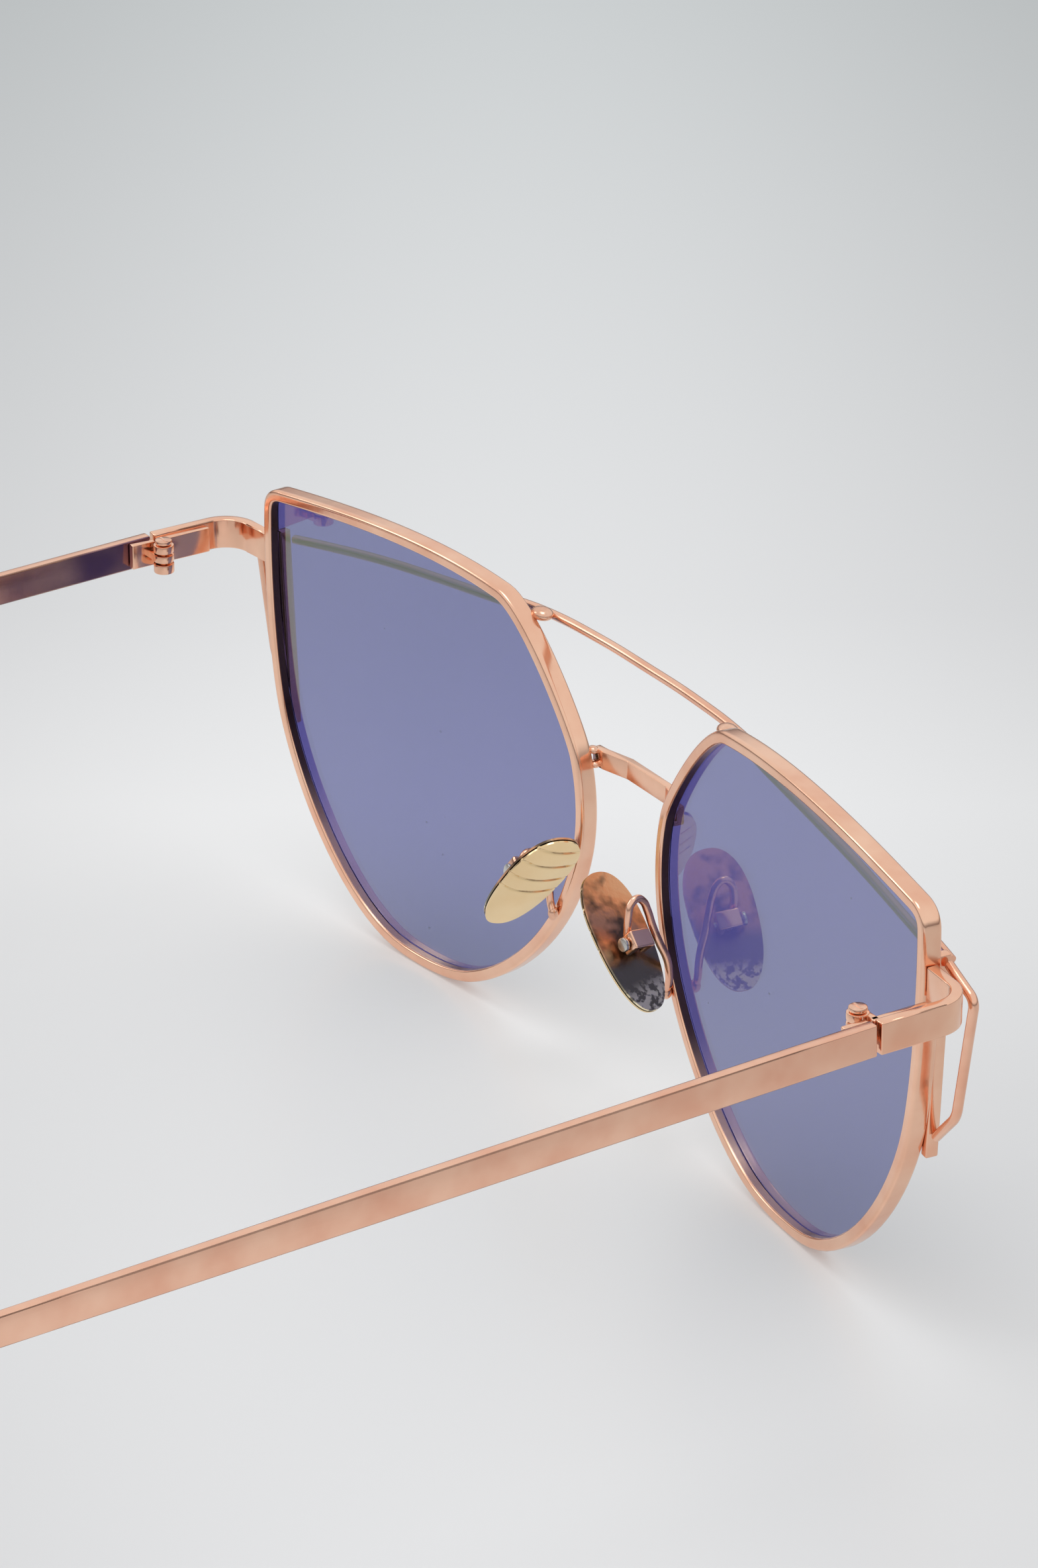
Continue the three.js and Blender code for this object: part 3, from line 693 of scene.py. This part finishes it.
def pull(shape, faces, vec):
    """Extrudes the faces and moves what grew, which is returned."""
    grown = bmesh.ops.extrude_face_region(shape, geom=faces)["geom"]
    moved = [v for v in grown if isinstance(v, bmesh.types.BMVert)]
    bmesh.ops.translate(shape, vec=vec, verts=moved)
    return [f for f in grown if isinstance(f, bmesh.types.BMFace)]


def swing(shape, faces, centre, axis, angle, steps):
    """Spins the faces about a centre and returns the last ones."""
    turned = bmesh.ops.spin(shape, geom=faces, cent=centre, axis=axis, angle=angle, steps=steps,
                            use_merge=False)
    return [f for f in turned["geom_last"] if isinstance(f, bmesh.types.BMFace)]


def ease(shape, size, segments=3, least=50):
    """Bevels every edge that turns more than a number of degrees."""
    bmesh.ops.recalc_face_normals(shape, faces=shape.faces[:])
    sharp = [e for e in shape.edges
             if e.is_manifold and e.calc_face_angle(0) > math.radians(least)]
    bmesh.ops.bevel(shape, geom=sharp, offset=size * MM, segments=segments, profile=0.5,
                    affect="EDGES", material=-1)


TURN = 4.2
ROOT_X = 66.05
ROOT_REAR, ROOT_FRONT = 2.75, 1.45
TURN_Y = ROOT_FRONT + 0.35
HINGE_GAP = 0.25
for side in SIDES:
    low, high = HINGE.z - STRIP_HEIGHT / 2, HINGE.z + STRIP_HEIGHT / 2
    turn_x = TEMPLE_X + STRIP_THICKNESS / 2 - TURN
    arm = bmesh.new()
    root = [(ROOT_X, ROOT_FRONT, low), (ROOT_X, ROOT_REAR, low),
            (ROOT_X, ROOT_REAR, high), (ROOT_X, ROOT_FRONT, high)]
    end = [arm.faces.new([arm.verts.new(mm(*corner)) for corner in root])]
    end = pull(arm, end, mm(turn_x - ROOT_X, TURN_Y - ROOT_FRONT, 0))
    end = swing(arm, end, mm(turn_x, TURN_Y + TURN, 0), (0, 0, 1), math.pi / 2, 14)
    end = pull(arm, end, mm(0, HINGE.y - HINGE_GAP - TURN_Y - TURN, 0))
    ease(arm, 0.18)
    settle(arm, "curved_end_piece_" + side, "front", ["end_piece_" + side], rose_gold,
           side=side)

# %% [markdown]
# ## Hinges
# A spectacle hinge is two leaves with knuckles that mesh on a pin. The knuckles are short
# cylinders with eased rims, and the pin has a slotted head on top.

# %% Hinges
def cylinder(radius, bottom, top, segments=28, ease_by=0.1):
    shape = bmesh.new()
    bmesh.ops.create_cone(shape, cap_ends=True, segments=segments, radius1=radius * MM,
                          radius2=radius * MM, depth=(top - bottom) * MM)
    bmesh.ops.translate(shape, vec=mm(0, 0, (top + bottom) / 2), verts=shape.verts[:])
    if ease_by:
        rims = [e for e in shape.edges if e.calc_face_angle(0) > 1.0]
        bmesh.ops.bevel(shape, geom=rims, offset=ease_by * MM, segments=2, profile=0.5,
                        affect="EDGES", material=-1)
    return shape


def gather(parts):
    whole = bmesh.new()
    for part, place in parts:
        part.transform(place)
        temporary = bpy.data.meshes.new("part")
        part.to_mesh(temporary)
        whole.from_mesh(temporary)
        bpy.data.meshes.remove(temporary)
        part.free()
    return whole


LEAF_INNER = TEMPLE_X - STRIP_THICKNESS / 2 - 0.1


def leaf(y_from, y_to, knuckles, sign):
    """A flat leaf on the strip's inner face, with a barrel and a web for each knuckle."""
    parts = []
    plate = block((0.85, y_to - y_from, 3.0), 0.12)
    parts.append((plate, Matrix.Translation(mm(LEAF_INNER - 0.42, (y_from + y_to) / 2, HINGE.z))))
    for bottom, top in knuckles:
        parts.append((cylinder(1.2, bottom, top), Matrix.Translation(HINGE * MM)))
        low, high = max(bottom, -1.5), min(top, 1.5)
        web = block((LEAF_INNER - HINGE.x - 0.3, 0.75, high - low), 0.08)
        spot = mm((LEAF_INNER + HINGE.x) / 2 - 0.1, HINGE.y + sign * 0.72, HINGE.z + (high + low) / 2)
        parts.append((web, Matrix.Translation(spot)))
    return gather(parts)


def slotted_pin(radius, head, bottom, top):
    """A pin up the Z axis with a round slotted head that starts at the top."""
    pin = cylinder(radius, bottom, top, 20, 0.0)
    cap = cylinder(head, top, top + 0.5, 24, 0.16)
    slot = block((head * 1.5, 0.28, 0.12), 0.0001, 1)
    in_head = Matrix.Translation(mm(0, 0, top + 0.47))
    return gather([(pin, Matrix()), (cap, Matrix()), (slot, in_head)])


for side in SIDES:
    front_leaf = leaf(6.9, HINGE.y - HINGE_GAP, [(-1.8, -0.7), (0.7, 1.6)], -1)
    settle(front_leaf, "front_knuckles_" + side, "front", ["hinge_front_" + side], rose_gold,
           side=side)
    rear_leaf = leaf(HINGE.y + HINGE_GAP, HINGE.y + 3.2, [(-0.42, 0.42)], 1)
    settle(rear_leaf, "rear_knuckle_" + side, "temple_" + side, ["hinge_rear_" + side], rose_gold,
           side=side)
    pin = slotted_pin(0.5, 1.0, -1.9, 1.7)
    settle(pin, "hinge_pin_" + side, "front", ["hinge_screw_" + side], solder,
           Matrix.Translation(HINGE * MM), side)

# %% [markdown]
# ## Temples
# A temple is a flat strip that runs back, then bends down behind the ear inside its plastic
# tip. The strip is a rectangle extruded in a few steps, so that it can taper.

# %% Temples
SLOPE = -0.03
STRAIGHT = 99.6
BEND_RADIUS = 16.0
BEND_ANGLE = 1.12
TIP_START = 102.6
TIP_STRAIGHT = 32.78


def temple_line(u):
    """The point on the temple's centre line at a distance u from the hinge, and its pitch."""
    bend_end = STRAIGHT + BEND_RADIUS * BEND_ANGLE
    turn = max(0.0, min((u - STRAIGHT) / BEND_RADIUS, BEND_ANGLE))
    pitch = SLOPE - turn
    start = Vector((HINGE.y, HINGE.z))
    start += Vector((math.cos(SLOPE), math.sin(SLOPE))) * min(u, STRAIGHT)
    if turn:
        centre = start + Vector((math.sin(SLOPE), -math.cos(SLOPE))) * BEND_RADIUS
        start = centre + Vector((-math.sin(pitch), math.cos(pitch))) * BEND_RADIUS
        start += Vector((math.cos(pitch), math.sin(pitch))) * max(0.0, u - bend_end)
    return start, pitch


def loft(stations):
    """One rectangle grown through stations of (distance, height, width)."""
    def corners(u, tall, wide):
        spot, pitch = temple_line(u)
        up = Vector((-math.sin(pitch), math.cos(pitch))) * tall / 2
        return [mm(TEMPLE_X + s * wide / 2, *(spot + t * up))
                for s, t in ((-1, -1), (1, -1), (1, 1), (-1, 1))]

    shape = bmesh.new()
    end = shape.faces.new([shape.verts.new(c) for c in corners(*stations[0])])
    for before, station in zip(stations, stations[1:]):
        end = pull(shape, [end], mm(0, 0, 0))[0]
        old, goals = corners(*before), corners(*station)
        for vert in end.verts:
            nearest = min(range(4), key=lambda i: (vert.co - old[i]).length)
            vert.co = goals[nearest]
    return shape


for side in SIDES:
    stations = [(HINGE_GAP, 3.6, 1.3), (30.0, 3.57, 1.3), (60.0, 3.55, 1.3), (85.0, 3.4, 1.3),
                (STRAIGHT, 3.3, 1.3), (TIP_START - 0.5, 3.3, 1.3), (TIP_START + 1.5, 2.4, 1.0),
                (TIP_START + 6.5, 2.4, 0.9)]
    strip = loft(stations)
    ease(strip, 0.2)
    settle(strip, "temple_strip_" + side, "temple_" + side, ["temple_" + side], temple_gold,
           side=side)

# %% [markdown]
# ## Ear tips
# The tips are moulded plastic sleeves pushed over the end of the strip. They widen towards the
# end and finish in a rounded toe. The same loft makes them, and wide bevels round them off.

# %% Ear tips
TIP_WIDTH = 2.19
TIP_LOW, TIP_HIGH = 4.05, 5.4
for side in SIDES:
    end_u = STRAIGHT + BEND_RADIUS * BEND_ANGLE + TIP_STRAIGHT
    stations = [(TIP_START + 0.3, 3.9, 2.0), (TIP_START + 1.3, TIP_LOW, TIP_WIDTH)]
    for i in range(1, 19):
        share = i / 18
        u = TIP_START + 1.3 + share * (end_u - 5.3 - TIP_START)
        stations.append((u, TIP_LOW + (TIP_HIGH - TIP_LOW) * share, TIP_WIDTH))
    base = stations[-1][0]
    for i in range(1, 7):
        turn = i / 6 * math.pi / 2 * 0.94
        u = base + (end_u - base) * math.sin(turn)
        stations.append((u, TIP_HIGH * math.cos(turn) ** 0.8, TIP_WIDTH))
    tip = loft(stations)
    ease(tip, 0.6, 4, 60)
    settle(tip, "ear_tip_sleeve_" + side, "temple_" + side, ["temple_tip_" + side], tip_plastic,
           side=side)

# %% [markdown]
# ## Nose pads
# The pads are thin metal leaves, egg shaped, with a row of curved grooves pressed into the skin
# side. A fine grid is drawn out into an egg, the grooves are pressed in by moving its points,
# and solidify gives it a wall. A second leaf makes the back, with small hammer dents at its foot.

# %% Pad frames
PADS = {
    "left": {"centre": (9.3, 2.2, -4.6), "skin": (-0.809, 0.207, -0.55),
             "length": (-0.584, -0.179, 0.791)},
    "right": {"centre": (9.3, 2.0, -4.35), "skin": (-0.682, 0.196, -0.704),
              "length": (-0.72, -0.013, 0.694)},
}
PAD_PIVOT = 1.9
PAD_DROP = 0.9


def pad_frame(side):
    along = Vector(PADS[side]["length"]).normalized()
    skin = Vector(PADS[side]["skin"])
    skin = (skin - along * skin.dot(along)).normalized()
    across = skin.cross(along)
    turn = Matrix((across, skin, along)).transposed().to_4x4()
    return Matrix.Translation(mm(*PADS[side]["centre"])) @ turn


# %% Pads
GROOVES = (6.2, 3.4, 0.7, -1.6)
PAD_HALF = (3.72, 8.35)


def pad_outline(u, v):
    """Carries a point of the unit square to the blunt egg outline of a pad."""
    x, z = u * math.sqrt(1 - v * v / 2), v * math.sqrt(1 - u * u / 2)
    reach, turn = math.hypot(x, z), math.atan2(z, x)
    x = reach * math.copysign(abs(math.cos(turn)) ** 0.85, x)
    z = reach * math.copysign(abs(math.sin(turn)) ** 0.85, z)
    return PAD_HALF[0] * x * (1 + 0.1 * z), PAD_HALF[1] * z, reach


def pad_grid(columns, rows, height, wall):
    shape = bmesh.new()
    bmesh.ops.create_grid(shape, x_segments=columns, y_segments=rows, size=1.0)
    for vert in shape.verts:
        x, z, reach = pad_outline(vert.co.x, vert.co.y)
        vert.co = mm(x, height(x, z, reach), z)
    bmesh.ops.recalc_face_normals(shape, faces=shape.faces[:])
    if sum((f.normal for f in shape.faces), Vector()).y < 0:
        bmesh.ops.reverse_faces(shape, faces=shape.faces[:])
    bmesh.ops.solidify(shape, geom=shape.faces[:], thickness=wall * MM)
    return shape


def skin_height(x, z, reach):
    """Height of the skin side: a turned-down edge, less the grooves."""
    press = 0.0
    for line in GROOVES:
        gap = z - line - 0.073 * x * x - 0.055 * x
        press += 0.3 * math.exp(-((gap / 0.15) ** 2)) * min(1.0, 2.6 * (1 - reach) + 0.3)
    return 0.40 - 0.16 * reach ** 3 - press


def back_height(x, z, reach):
    """Height of the back: flat, with dents towards the foot."""
    dents = 0.03 * math.sin(9.0 * z + 2.0 * math.sin(3.0 * x)) * math.sin(7.0 * x + 1.3)
    foot = max(0.0, min(1.0, (-z - 3.5) / 2.0))
    return -0.14 + dents * foot * (1 - reach)


for side in SIDES:
    pad = pad_grid(56, 250, skin_height, 0.2)
    settle(pad, "nose_leaf_" + side, "nose_pad_" + side, ["nose_pad_" + side], pad_gold,
           pad_frame(side), side, 50)
    back = pad_grid(40, 90, back_height, 0.26)
    lug = block((0.65, 1.9, 1.4), 0.1)
    whole = gather([(back, Matrix()), (lug, Matrix.Translation(mm(0, -1.35, -PAD_DROP)))])
    settle(whole, "leaf_back_" + side, "nose_pad_" + side, [], pad_back_painted,
           pad_frame(side), side, 50)

# %% [markdown]
# ## Pad boxes, screws and arms
# Each pad rocks on a small screw through a forked box, which sits at the end of a bent wire arm.

# %% Boxes and screws
for side in SIDES:
    box_place = pad_frame(side) @ Matrix.Translation(mm(0, -PAD_PIVOT, -PAD_DROP))
    cheeks = [(block((0.72, 2.15, 2.1), 0.22), Matrix.Translation(mm(across, -0.2, 0)))
              for across in (-1, 1)]
    back = (block((2.7, 0.75, 2.1), 0.2), Matrix.Translation(mm(0, -0.98, 0)))
    settle(gather([*cheeks, back]), "forked_box_" + side, "front", ["pad_box_" + side], rose_gold,
           box_place, side)
    turn = Matrix.Rotation(math.pi / 2, 4, "Y")
    screw = slotted_pin(0.3, 0.8, -1.6, 1.55)
    settle(screw, "pad_screw_" + side, "front", ["pad_screw_" + side], bright_steel,
           box_place @ turn, side)

# %% [markdown]
# Both arms leave the rim at the same foot. The right one rises in a high loop, and the left one in
# a low loop that stays behind its pad.

# %% Arms
ARM_RADIUS = 0.45
ARM_FOOT = [(11.4, -2.1, -10.5), (12.0, -2.15, -9.3), (12.1, -2.1, -7.9)]
ARM_LOOP = {
    "left": [(12.1, -1.75, -6.3), (11.7, -1.1, -4.9), (11.3, -0.5, -3.7), (11.0, 0.15, -2.6),
             (10.9, 1.0, -1.95), (10.8, 1.9, -1.9)],
    "right": [(12.0, -1.85, -6.2), (11.5, -1.15, -4.2), (11.0, -0.6, -2.3), (10.75, -0.1, -0.4),
              (10.7, 0.45, 0.8), (10.7, 1.25, 1.3), (10.75, 2.05, 0.8), (10.85, 2.4, -0.3)],
}
for side in SIDES:
    arm_end = pad_frame(side) @ mm(0.8, -PAD_PIVOT, 1.05 - PAD_DROP)
    bent = wire([(mm(*p),) for p in ARM_FOOT + ARM_LOOP[side]] + [(arm_end,)], ARM_RADIUS)
    settle(bent, "looped_arm_" + side, "front", ["pad_arm_" + side], rose_wire,
           side=side)
    foot = bead((0.6, 0.6, 0.85), mm(11.5, -2.2, -10.6))
    settle(foot, "arm_solder_" + side, "front", [], solder, side=side)

# %% [markdown]
# ## The set
# The glasses stand on a white sheet. Painted shade in its colour turns it grey a hand's width behind
# them and a little at both sides, with a paler painted band just before the grey. The floor's colour
# carries that change, so it stays put from every side, and a weak painted glow of the same colour
# keeps the shadows pale.

# %% Floor with painted shade and a painted glow
floor_shape = bmesh.new()
bmesh.ops.create_grid(floor_shape, x_segments=1, y_segments=1, size=4.0)
floor_mesh = bpy.data.meshes.new("floor")
floor_shape.to_mesh(floor_mesh)
floor_shape.free()
floor = bpy.data.objects.new("floor", floor_mesh)
bpy.context.collection.objects.link(floor)
paper, tree, shader = start_material("white sheet", Roughness=0.35, IOR=1.4)
spot = add_node(tree, "ShaderNodeTexCoord")
aim = add_node(tree, "ShaderNodeVectorMath", {1: (0.845, -0.534, 0.0)}, operation="DOT_PRODUCT")
tree.links.new(spot.outputs["Object"], aim.inputs[0])
depth = add_node(tree, "ShaderNodeMapRange", {"From Min": -0.13, "From Max": 0.67})
tree.links.new(aim.outputs["Value"], depth.inputs["Value"])
# Painted shade and light: a paler band just behind the glasses, then grey further back.
shade = add_node(tree, "ShaderNodeValToRGB")
ramp = shade.color_ramp
ramp.elements[0].position = 0.0
ramp.elements[0].color = (0.80, 0.808, 0.82, 1)
ramp.elements[1].position = 1.0
ramp.elements[1].color = (0.46, 0.50, 0.51, 1)
for place, tone in ((0.30, (0.91, 0.92, 0.93, 1)), (0.375, (0.79, 0.80, 0.813, 1)),
                    (0.76, (0.56, 0.60, 0.61, 1))):
    ramp.elements.new(place).color = tone
tree.links.new(depth.outputs["Result"], shade.inputs["Fac"])
# Painted shade: the floor darkens towards both sides.
cross = add_node(tree, "ShaderNodeVectorMath", {1: (0.534, 0.845, 0.0)}, operation="DOT_PRODUCT")
tree.links.new(spot.outputs["Object"], cross.inputs[0])
middle = add_node(tree, "ShaderNodeMath", {1: 0.0487}, operation="ADD")
tree.links.new(cross.outputs["Value"], middle.inputs[0])
away = add_node(tree, "ShaderNodeMath", operation="ABSOLUTE")
tree.links.new(middle.outputs["Value"], away.inputs[0])
painted_side_shade = add_node(tree, "ShaderNodeMapRange", {"From Min": 0.0, "From Max": 0.12, "To Max": 0.24},
               interpolation_type="SMOOTHSTEP")
tree.links.new(away.outputs["Value"], painted_side_shade.inputs["Value"])
toned = blend(tree, painted_side_shade.outputs["Result"], shade.outputs["Color"], (0.0, 0.0, 0.0))
# Painted glow: the floor gives off its own shaded colour, which keeps the shadows pale.
tree.links.new(toned, shader.inputs["Emission Color"])
part_lit = add_node(tree, "ShaderNodeMix", {0: 0.24}, data_type="RGBA")
tree.links.new(toned, part_lit.inputs[6])
part_lit.inputs[7].default_value = (0.0, 0.0, 0.0, 1)
tree.links.new(part_lit.outputs[2], shader.inputs["Base Color"])
shader.inputs["Emission Strength"].default_value = 0.22
fibre = add_node(tree, "ShaderNodeTexNoise", {"Scale": 900.0, "Detail": 3.0})
tree.links.new(spot.outputs["Object"], fibre.inputs["Vector"])
tooth = add_node(tree, "ShaderNodeBump", {"Strength": 0.05, "Distance": 0.0002})
tree.links.new(fibre.outputs["Fac"], tooth.inputs["Height"])
tree.links.new(tooth.outputs["Normal"], shader.inputs["Normal"])
floor_mesh.materials.append(paper)

# %% [markdown]
# ## Light and camera
# Polished metal shows what stands around it. A bright room gives the flat pale pink, its walls
# that darken towards the floor give the thin dark lines, and two softboxes the white ones.

# %% Light
world = bpy.data.worlds.new("studio")
bpy.context.scene.world = world
world.use_nodes = True
room = world.node_tree
sky = room.nodes["Background"]
ray = add_node(room, "ShaderNodeTexCoord")
height = add_node(room, "ShaderNodeSeparateXYZ")
room.links.new(ray.outputs["Generated"], height.inputs["Vector"])
walls = add_node(room, "ShaderNodeValToRGB")
walls.color_ramp.elements[0].position = 0.02
walls.color_ramp.elements[0].color = (0.16, 0.13, 0.13, 1)
walls.color_ramp.elements[1].position = 0.32
walls.color_ramp.elements[1].color = (1.0, 1.0, 1.0, 1)
room.links.new(height.outputs["Z"], walls.inputs["Fac"])
room.links.new(walls.outputs["Color"], sky.inputs["Color"])
sky.inputs["Strength"].default_value = 0.86


def softbox(name, spot, size, power, target=(0.0, -0.02, 0.02)):
    light = bpy.data.lights.new(name, "AREA")
    light.shape = "RECTANGLE"
    light.size, light.size_y = size
    light.energy = power
    holder = bpy.data.objects.new(name, light)
    holder.location = spot
    holder.rotation_euler = (Vector(target) - Vector(spot)).to_track_quat("-Z", "Y").to_euler()
    bpy.context.collection.objects.link(holder)


softbox("overhead softbox", (0.1, 0.1, 0.9), (0.35, 0.35), 1.0)
softbox("side softbox", (0.7, 0.5, 0.5), (0.2, 0.4), 0.5)
bpy.context.scene.view_settings.view_transform = "Standard"

# %% Camera
camera_data = bpy.data.cameras.new("camera")
camera_data.lens = 152.03
camera_data.sensor_width = 36.0
camera_data.clip_start = 0.01
camera = bpy.data.objects.new("camera", camera_data)
camera.location = TO_ROW @ mm(-547.64, 355.78, 317.19)
yaw, pitch = math.radians(57.7), math.radians(25.16)
level = math.cos(pitch)
looking = Vector((math.sin(yaw) * level, -math.cos(yaw) * level, -math.sin(pitch)))
camera.rotation_euler = looking.to_track_quat("-Z", "Y").to_euler()
bpy.context.collection.objects.link(camera)
bpy.context.scene.camera = camera
